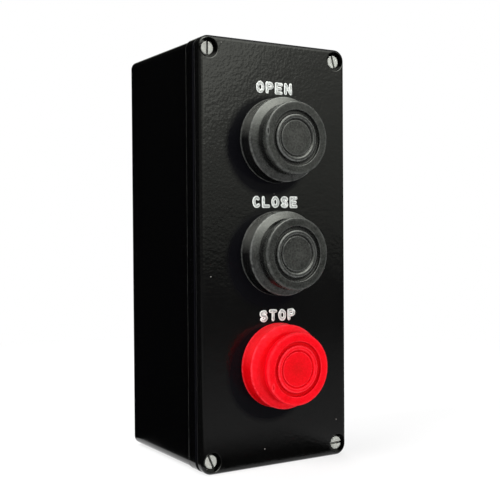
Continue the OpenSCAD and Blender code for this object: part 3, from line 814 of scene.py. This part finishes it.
def box_enamel():
    """Gloss black enamel on the cast box, with a faint waviness and dust on it, a painted highlight
    along the flange's rear edge, and dull and dark along the joint with the cover."""
    f = Finish("box enamel")
    dust = f.specks(6.0, 0.42, 0.2)
    haze = f.range(f.noise(22, 4), 0.42, 0.72)
    f.bump(f.noise(2.6, 1) + 0.35 * f.noise(0.9, 1), 0.010)
    base = f.mix(dust, colour(0.0005, 0.0005, 0.0006), colour(0.14, 0.135, 0.12))
    y = f.along("Y")
    # Painted highlight: a pale, patchy line along the flange's rear edge
    off_edge = f.math("ABSOLUTE", y - (BOX_FRONT_Y + FLANGE_T) * MM, 0.0)
    patchy = f.range(f.noise(3.5, 3), 0.35, 0.6, 0.5, 1)
    wear_and_highlight = f.range(off_edge, 0.25 * MM, 0.45 * MM, 0.8, 0) * patchy
    base = f.mix(wear_and_highlight, base, colour(0.10, 0.10, 0.095))
    f.set(Base_Color=base, Roughness=0.10 + 0.06 * haze + 0.3 * dust)
    return f.dull(f.range(y, (BOX_FRONT_Y + 0.5) * MM, (BOX_FRONT_Y + 0.8) * MM, 0.9, 0))


# The painted shadow and dark reflection, a crescent beside each boot: the middle of its circle
# from the button's, the radius up to which it is full and at which it ends, and its strength
SHADE_X = -3.4
SHADE_Z = -2.4
SHADE_FULL = 18.4
SHADE_END = 20.9
SHADE_AMOUNT = 0.85


def cover_enamel():
    """Satin black enamel with an orange-peel skin and a little dust. Beside the boots it carries
    their painted shadow and dark reflection, along the top edge painted shade, and it is dull at
    the joint with the box."""
    f = Finish("cover enamel")
    peel = f.noise(1.2, 1, 0.5)
    swell = f.noise(4.5, 1)
    dust = f.specks(6.0, 0.3, 0.2)
    f.bump(0.75 * peel + 0.7 * swell, 0.055)
    base = f.mix(dust, colour(0.0014, 0.0014, 0.0014), colour(0.20, 0.195, 0.18))
    f.set(Base_Color=base, Specular_IOR_Level=0.3,
          Roughness=f.range(f.noise(9, 2), 0.3, 0.7, 0.12, 0.15) + 0.2 * dust)
    # Painted shadow and dark reflection of each boot: a matt crescent to its lower left
    shade = 0
    for z in BUTTON_Z.values():
        gap = f.measure("DISTANCE", f.place, (SHADE_X * MM, FACE_Y * MM, (z + SHADE_Z) * MM))
        shade = shade + f.range(gap, SHADE_FULL * MM, SHADE_END * MM, SHADE_AMOUNT, 0)
    # Painted shade along the top edge: its rounding is made matt black
    edge = f.range(f.along("Z"), (HALF_H - 1.5) * MM, (HALF_H - 0.9) * MM, 0, 0.85)
    joint = f.range(f.along("Y"), (COVER_BACK_Y - 0.7) * MM, (COVER_BACK_Y - 0.4) * MM, 0, 0.9)
    return f.dull(f.math("MAXIMUM", shade, f.math("MAXIMUM", edge, joint)))


# Places (radius, height) on a boot's section, each with the reach and the amount of its mark:
# pale edges, partly from rubbing and partly painted highlights, and painted shade in the folds,
# the grooves and at the foot
RUBBED_AND_HIGHLIT = [(FOOT_R, 0.7, 0.5, 0.4), (RING_R, RING_H, 0.7, 0.4), (15.3, 7.8, 2.2, 0.10),
          (RIM_R, CAP_H, 1.1, 0.25), (GROOVE_R, CAP_H, 0.3, 0.3), (9.1, CAP_H, 0.6, 0.6),
          (7.8, CAP_H, 0.4, 0.35), (DISC_R, DISC_H, 0.3, 0.4)]
CREASE_SHADE = [(13.2, 9.9, 2.4, 0.9), (10.2, GROOVE_H, 1.4, 0.9), (7.15, 14.2, 0.5, 0.9),
         (FOOT_R, 0, 0.5, 0.7)]
# The side of the base ring: painted shade below, and a painted sheen in a dust colour above
BASE_SIDE = [(16.8, 3.4, 5.0, 1.0)]
# The disc, which thumbs have polished or soiled
THUMBED = [(0, DISC_H, 7.6, 0.45), (0, DISC_H, 3.2, 0.35)]
# Small cuts in the rubber, each with a pale lip: place on the station, half height and half width
CUTS = [((-13.3, -80.0, 47.6), 1.2, 0.35), ((-11.6, -80.0, -50.6), 1.0, 0.4)]


def boot_rubber(name, base, wear_and_highlight, dust_and_sheen, rubbed_and_painted_light, grime_and_shade, thumbed, roughness, gloss, upper_sheen):
    """Moulded rubber: a fine skin, slightly uneven in tone, with small scuffs, pale edges partly
    from rubbing and partly painted highlights, painted shade in its folds and grooves and on the
    lower side of the base ring, a painted sheen on its upper side, and small cuts. Each tone has a
    colour,
    `gloss` is the strength of the shine, and the last share is how much of the painted sheen lies
    on the upper side of the base ring."""
    f = Finish(name)
    f.place = f.attribute("at_rest")
    section = f.attribute("section")

    def near(places):
        """The wear of a list of places: full within 0.4 of its reach, and none past it."""
        total = 0
        for r, h, reach, amount in places:
            gap = f.measure("DISTANCE", section, (r, h, 0))
            total = total + f.range(gap, 0.4 * reach, reach, amount, 0)
        return total

    cloud = f.range(f.noise(3.5, 5, 0.65), 0.36, 0.64)
    grain = f.noise(0.35, 3, 0.6)
    scuff = f.range(f.noise(1.6, 5, 0.7, f.stretched(1, 1, 0.35)), 0.60, 0.68)
    dust = f.specks(2.6, 0.22, 0.22)
    f.bump(grain + 0.6 * f.noise(2.2, 2), 0.022)
    tone = f.mix(cloud * 0.55, base, wear_and_highlight)
    tone = f.mix(scuff * 0.7, tone, wear_and_highlight)
    tone = f.mix(near(THUMBED), tone, thumbed)
    speckle = f.noise(0.7, 3, 0.75)
    tone = f.mix(f.range(speckle, 0.5, 0.62, 0, 0.5), tone, wear_and_highlight)
    tone = f.mix(f.range(speckle, 0.38, 0.5, 0.5, 0), tone, grime_and_shade)
    # Painted shade in the folds, the grooves and at the foot
    folds = near(CREASE_SHADE)
    tone = f.mix(folds, tone, grime_and_shade)
    # Painted shade on the lower side of the base ring, and a painted sheen in a dust colour on its
    # upper side
    upper = f.range(Value(f, f.attribute("up", "Fac")), 0.0, 0.45)
    side = near(BASE_SIDE)
    tone = f.mix(side * (1 - upper), tone, grime_and_shade)
    tone = f.mix(side * upper * upper_sheen, tone, dust_and_sheen)
    # Pale edges, partly from rubbing and partly painted highlight lines
    patchy = f.range(f.noise(1.4, 3, 0.6), 0.35, 0.6, 0.25, 1)
    tone = f.mix(near(RUBBED_AND_HIGHLIT) * patchy, tone, rubbed_and_painted_light)
    for (x, y, z), half_h, half_w in CUTS:
        local = f.node("ShaderNodeMapping", {"vector_type": "TEXTURE"}, {
            "Vector": f.place, "Location": (x * MM, y * MM, z * MM),
            "Scale": (half_w * MM, half_w * MM, half_h * MM)}).outputs["Vector"]
        away = f.measure("LENGTH", local) + 0.8 * (f.noise(0.7, 2) - 0.5)
        tone = f.mix(f.range(away, 1.3, 2.1, 0.4, 0), tone, rubbed_and_painted_light)
        tone = f.mix(f.range(away, 0.8, 1.1, 1, 0), tone, grime_and_shade)
    return f.set(Base_Color=f.mix(dust * 0.35, tone, dust_and_sheen), Specular_IOR_Level=gloss,
                 Roughness=f.range(grain, 0.3, 0.7, roughness - 0.05, roughness + 0.06)
                 + 0.15 * dust + 0.05 * folds)


def bright_steel(name, base, roughness=0.3, metallic=1.0):
    """Turned and plated steel: fine tool marks and slight stains."""
    f = Finish(name)
    marks = f.noise(0.16, 3, 0.6, f.stretched(1, 1, 0.25))
    stain = f.range(f.noise(1.3, 3), 0.35, 0.75)
    f.bump(marks, 0.006)
    return f.set(Base_Color=f.mix(stain * 0.4, base, colour(*(0.72 * c for c in base[:3]))),
                 Roughness=f.range(marks, 0.3, 0.7, roughness - 0.08, roughness + 0.12),
                 Metallic=metallic)


def screw_steel():
    """Plated steel of the cover screws: dull heads, the upper left one stained, with painted shade
    in the slots and down the holes."""
    material = bright_steel("screw steel", colour(0.38, 0.39, 0.36), 0.42, 0.05)
    f = Finish(material)
    # Painted shade, patchy, deep in the slots and down the holes
    top = FACE_Y + RECESS_DEPTH - HEAD_H
    deep = f.range(f.along("Y"), (top + 0.15) * MM, (top + 0.5) * MM)
    patchy = f.range(f.noise(1.6, 2), 0.35, 0.6, 0.45, 1)
    left = f.range(f.along("X"), 5 * MM, -5 * MM)
    upper = f.range(f.along("Z"), -5 * MM, 5 * MM)
    clean = f.shader.inputs["Base Color"].links[0].from_socket
    stained = f.mix(left * upper * 0.45, clean, colour(0.15, 0.15, 0.14))
    return f.set(Base_Color=f.mix(deep * patchy, stained, colour(0.03, 0.03, 0.028)))


def word_paint():
    """White paint of the words: bright at the edges of a stroke, with painted shade along its crown
    that turns grey in spots where the paint has thinned."""
    f = Finish("word paint")
    # Painted shade along the crown of each stroke, grey in spots where the paint has thinned
    crown = f.range(f.along("Y"), (FACE_Y - 0.5 * WORD_PROUD) * MM, (FACE_Y - WORD_PROUD) * MM)
    thin = f.range(f.noise(0.8, 3, 0.6), 0.30, 0.56)
    rubbed_and_painted_light = crown * (0.2 + 0.8 * thin)
    f.bump(f.noise(0.4, 3), 0.02)
    tone = f.mix(rubbed_and_painted_light * 0.9, colour(0.76, 0.78, 0.75), colour(0.12, 0.13, 0.125))
    return f.set(Base_Color=tone, Roughness=0.5 + 0.1 * thin)


def moulded(name, base, roughness, grain_size=0.4, depth=0.01, metallic=0.0):
    """A moulded or cast skin: slightly uneven tone and a fine grain."""
    f = Finish(name)
    cloud = f.range(f.noise(4, 4), 0.3, 0.7)
    grain = f.noise(grain_size, 3, 0.6)
    f.bump(grain, depth)
    return f.set(Base_Color=f.mix(cloud * 0.3, base, colour(*(0.7 * c for c in base[:3]))),
                 Roughness=f.range(grain, 0.3, 0.7, roughness - 0.06, roughness + 0.08),
                 Metallic=metallic)


def slot_finishes():
    """One finish for each material slot of the record."""
    return {
        "box_enamel": box_enamel(),
        "cover_enamel": cover_enamel(),
        "gasket_rubber": moulded("gasket rubber", colour(0.02, 0.02, 0.02), 0.7),
        "screw_steel": screw_steel(),
        "earth_green": moulded("green plating", colour(0.03, 0.3, 0.1), 0.35, 0.3, 0.005, 0.6),
        "contact_brass": bright_steel("contact brass", colour(0.80, 0.58, 0.28), 0.28),
        "boot_grey": boot_rubber(
            "grey boot rubber", base=colour(0.010, 0.011, 0.010),
            wear_and_highlight=colour(0.036, 0.037, 0.034), dust_and_sheen=colour(0.22, 0.22, 0.20),
            rubbed_and_painted_light=colour(0.13, 0.135, 0.13), grime_and_shade=colour(0.003, 0.003, 0.003),
            thumbed=colour(0.031, 0.032, 0.029), roughness=0.22, gloss=0.24, upper_sheen=0.15),
        "boot_red": boot_rubber(
            "red boot rubber", base=colour(0.60, 0.0012, 0.005),
            wear_and_highlight=colour(0.66, 0.004, 0.012), dust_and_sheen=colour(0.76, 0.20, 0.20),
            rubbed_and_painted_light=colour(0.78, 0.05, 0.07), grime_and_shade=colour(0.48, 0.001, 0.003),
            thumbed=colour(0.43, 0.004, 0.004), roughness=0.34, gloss=0.035, upper_sheen=0.04),
        "plated_steel": bright_steel("zinc plating", colour(0.68, 0.69, 0.66), 0.38),
        "cast_zinc": moulded("cast zinc", colour(0.55, 0.56, 0.57), 0.45, 0.5, 0.02, 1.0),
        "black_plastic": moulded("black plastic", colour(0.025, 0.025, 0.026), 0.45),
        "spring_steel": bright_steel("spring wire", colour(0.58, 0.58, 0.56), 0.3),
        "block_plastic": moulded("block phenolic", colour(0.09, 0.05, 0.03), 0.4),
        "carrier_plastic": moulded("carrier plastic", colour(0.74, 0.70, 0.58), 0.45),
    }


def give_finish(piece, material):
    """Puts one material on a piece."""
    if not piece.data.materials:
        piece.data.materials.append(material)
    for i in range(len(piece.data.materials)):
        piece.data.materials[i] = material


# Camera

CAMERA_YAW = 31.48
CAMERA_PITCH = 1.10
CAMERA_ROLL = -0.39
CAMERA_SHIFT = np.array([10.76, 366.29, -1.79])
FOCAL_PIXELS = 910.9
IMAGE_PIXELS = 500
SENSOR = 36


def stand(thing, right, up, back, place):
    """Puts the camera or a lamp in the scene by the directions of its three axes and its place."""
    scene.collection.objects.link(thing)
    pose = np.eye(4)
    pose[:3] = np.stack([right, up, back, place * MM], axis=1)
    thing.matrix_world = Matrix(pose.tolist())


def make_camera():
    """The camera of the photograph. The station's frame is turned by the yaw about Z, the pitch
    about X and the roll about Y, and then moved by the shift; the camera looks along Y."""
    def turn(axis, degrees):
        """The rotation about an axis."""
        return np.array(Matrix.Rotation(math.radians(degrees), 3, axis))

    rotation = turn("Y", CAMERA_ROLL) @ turn("X", CAMERA_PITCH) @ turn("Z", CAMERA_YAW)
    right, ahead, up = rotation
    camera = bpy.data.objects.new("camera", bpy.data.cameras.new("camera"))
    stand(camera, right, up, -ahead, -rotation.T @ CAMERA_SHIFT + [0, FACE_Y, 0])
    camera.data.sensor_width = SENSOR
    camera.data.lens = FOCAL_PIXELS * SENSOR / IMAGE_PIXELS
    camera.data.clip_start = 0.01
    scene.camera = camera


# Floor, backdrop and light

# Middle and half width of the white backdrop behind the station, and of its soft edge, seen
# from above: 0 is straight behind it, and the angle grows to the right
BACKDROP_AZIMUTH = 35
BACKDROP_REACH = 22
BACKDROP_FADE = 12
# How bright the dark part of the studio is in reflections, and as soft light from all round
STUDIO_DARK = 0.004
AMBIENT = 0.12
# Soft lights that reflections show: azimuth and elevation of the middle, as for a lamp, the
# angle up to which it is even, its brightness there, and the spread of the bell by which it fades
GLOWS = [(0, 60, 0, 15, 34), (22.5, 18, 12, 1.65, 4), (66, 56, 6, 4, 5), (46, 2, 4, 0.3, 7),
         (31, 3, 3, 0.15, 5), (-62, 46, 14, 4, 8), (-90, 0, 12, 0.27, 12)]
# Lamps: name, azimuth, elevation, distance, width, height and power
LAMPS = [("front light", 12, 30, 900, 520, 420, 3.9),
         ("low front light", 0, -3, 900, 500, 70, 2.8),
         ("left light", -84, 38, 1100, 600, 800, 17),
         ("right light", 75, 20, 1100, 600, 600, 3.0),
         ("top light", 180, 58, 850, 1000, 700, 9)]
# The tint that the enamel and the rubber show of the studio
STUDIO_TINT = (1.0, 1.03, 0.93, 1.0)
# The floor: its shadow stays within the near part. Reflections show it white close round the
# foot of the station and beside it, and dimly lit in front
FLOOR_HALF = 3000
FLOOR_WHITE = 0.72
FLOOR_NEAR = 200
FLOOR_FAR = 420
RIM_NEAR = 4.5
RIM_FAR = 7.5
APRON_LIGHT = 0.45
APRON_NEAR = 20
APRON_FULL = 60
APRON_FAR = 420
APRON_END = 0.2
BESIDE_FULL = 10
BESIDE_FAR = 110


def make_floor():
    """A pale floor: white to the camera, with the shadow left on it. Reflections show the same
    white close round the foot of the station and to its right, a dim apron in front that fades
    away, and else the dark studio."""
    corners = [(-1, -1), (1, -1), (1, 1), (-1, 1)]
    floor = make_piece("floor", [(x * FLOOR_HALF, y * FLOOR_HALF, -HALF_H) for x, y in corners],
                       [(0, 1, 2, 3)])
    f = Finish("floor")
    f.set(Base_Color=colour(0.8, 0.8, 0.8), Roughness=0.9, Specular_IOR_Level=0.0)
    reach = f.measure("DISTANCE", f.place, (0, FACE_Y / 2 * MM, -HALF_H * MM))
    far = f.range(reach, FLOOR_NEAR * MM, FLOOR_FAR * MM)
    x, y = f.along("X"), f.along("Y")
    side = f.math("ABSOLUTE", x, 0.0) - HALF_W * MM
    front = FACE_Y * MM - y
    outside = f.math("MAXIMUM", f.math("MAXIMUM", side, front), y)
    rim = f.range(outside, RIM_NEAR * MM, RIM_FAR * MM, 1, STUDIO_DARK)
    apron = (f.range(front, APRON_NEAR * MM, APRON_FULL * MM, 0, APRON_LIGHT)
             * f.range(front, APRON_FULL * MM, APRON_FAR * MM, 1, APRON_END))
    right = x - HALF_W * MM
    beside = (f.range(right, 0, BESIDE_FULL * MM)
              * f.range(right, BESIDE_FULL * MM, BESIDE_FAR * MM, 1, 0)
              * f.range(front, 0, APRON_FULL * MM, 1, 0))
    camera, mirror = f.rays("Camera"), f.rays("Glossy", "Transmission")
    glow = f.node("ShaderNodeEmission", {}, {
        "Color": colour(1, 1, 1), "Strength": camera + mirror * (rim + apron + beside)})
    share = mirror + camera * (FLOOR_WHITE + (1 - FLOOR_WHITE) * far)
    give_finish(floor, f.overlay(share, glow))


def direction(azimuth, elevation):
    """The way from the station to a lamp. Azimuth 0 is straight in front of the cover and grows
    to the right."""
    a, e = math.radians(azimuth), math.radians(elevation)
    return np.array([math.sin(a) * math.cos(e), -math.cos(a) * math.cos(e), math.sin(e)])


def make_world():
    """White where the camera looks past the object, the same white in reflections of that
    backdrop, and a dim studio round it for the light."""
    world = bpy.data.worlds.new("studio")
    scene.world = world
    world.use_nodes = True
    n = Nodes(world.node_tree)
    way = n.node("ShaderNodeTexCoord", {}, {}).outputs["Generated"]
    a = math.radians(BACKDROP_AZIMUTH)
    toward = n.measure("DOT_PRODUCT", way, (math.sin(a), math.cos(a), 0))
    backdrop = n.range(toward, math.cos(math.radians(BACKDROP_REACH + BACKDROP_FADE)),
                       math.cos(math.radians(BACKDROP_REACH)))
    studio = STUDIO_DARK + (1 - STUDIO_DARK) * backdrop
    for azimuth, elevation, even, brightness, spread in GLOWS:
        toward = n.measure("DOT_PRODUCT", way, tuple(direction(azimuth, elevation)))
        past = n.range(n.math("ARCCOSINE", toward, 0.0), math.radians(even), math.pi,
                       0, math.pi - math.radians(even))
        bell = n.math("POWER", math.exp(-1 / math.radians(spread) ** 2), past * past)
        studio = studio + brightness * bell
    level = (n.rays("Camera") + n.rays("Glossy", "Transmission") * studio
             + AMBIENT * n.rays("Diffuse"))
    tint = n.mix(n.rays("Glossy"), (1, 1, 1, 1), STUDIO_TINT)
    back = world.node_tree.nodes["Background"]
    n.put(tint, back.inputs["Color"])
    n.put(level, back.inputs["Strength"])


def softbox(name, azimuth, elevation, distance, width, height, power):
    """A rectangular lamp that faces the middle of the station; distance and sides are in
    millimetres. It gives soft light and no reflection of itself: reflections show the glows."""
    away = direction(azimuth, elevation)
    lamp = bpy.data.lights.new(name, "AREA")
    lamp.shape = "RECTANGLE"
    lamp.size = width * MM
    lamp.size_y = height * MM
    lamp.energy = power
    holder = bpy.data.objects.new(name, lamp)
    holder.visible_camera = False
    holder.visible_glossy = False
    side = np.cross([0, 0, 1], away)
    side /= np.linalg.norm(side)
    stand(holder, side, np.cross(away, side), away, away * distance + [0, FACE_Y, 0])


# The whole scene

finishes = slot_finishes()

box = make_box()
cover = make_cover()
screws = make_screws()
for piece, slot in ((box, "box_enamel"), (cover, "cover_enamel"), (screws, "screw_steel")):
    give_finish(piece, finishes[slot])
    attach(piece, "station")

for name in BUTTONS:
    give_finish(make_boot(name), finishes["boot_red" if name == "stop" else "boot_grey"])
    give_finish(make_spring(name), finishes["spring_steel"])

paint = word_paint()
for name in BUTTONS:
    word = make_word(name)
    give_finish(word, paint)
    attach(word, "station")

node_slots = {part["node"]: part["material_slot"] for part in frame["record"]["subparts"]}
for node, piece in frame["nodes"].items():
    give_finish(piece, finishes[node_slots[node]])

make_camera()
make_floor()
make_world()
for lamp in LAMPS:
    softbox(*lamp)

scene.view_settings.view_transform = "Standard"
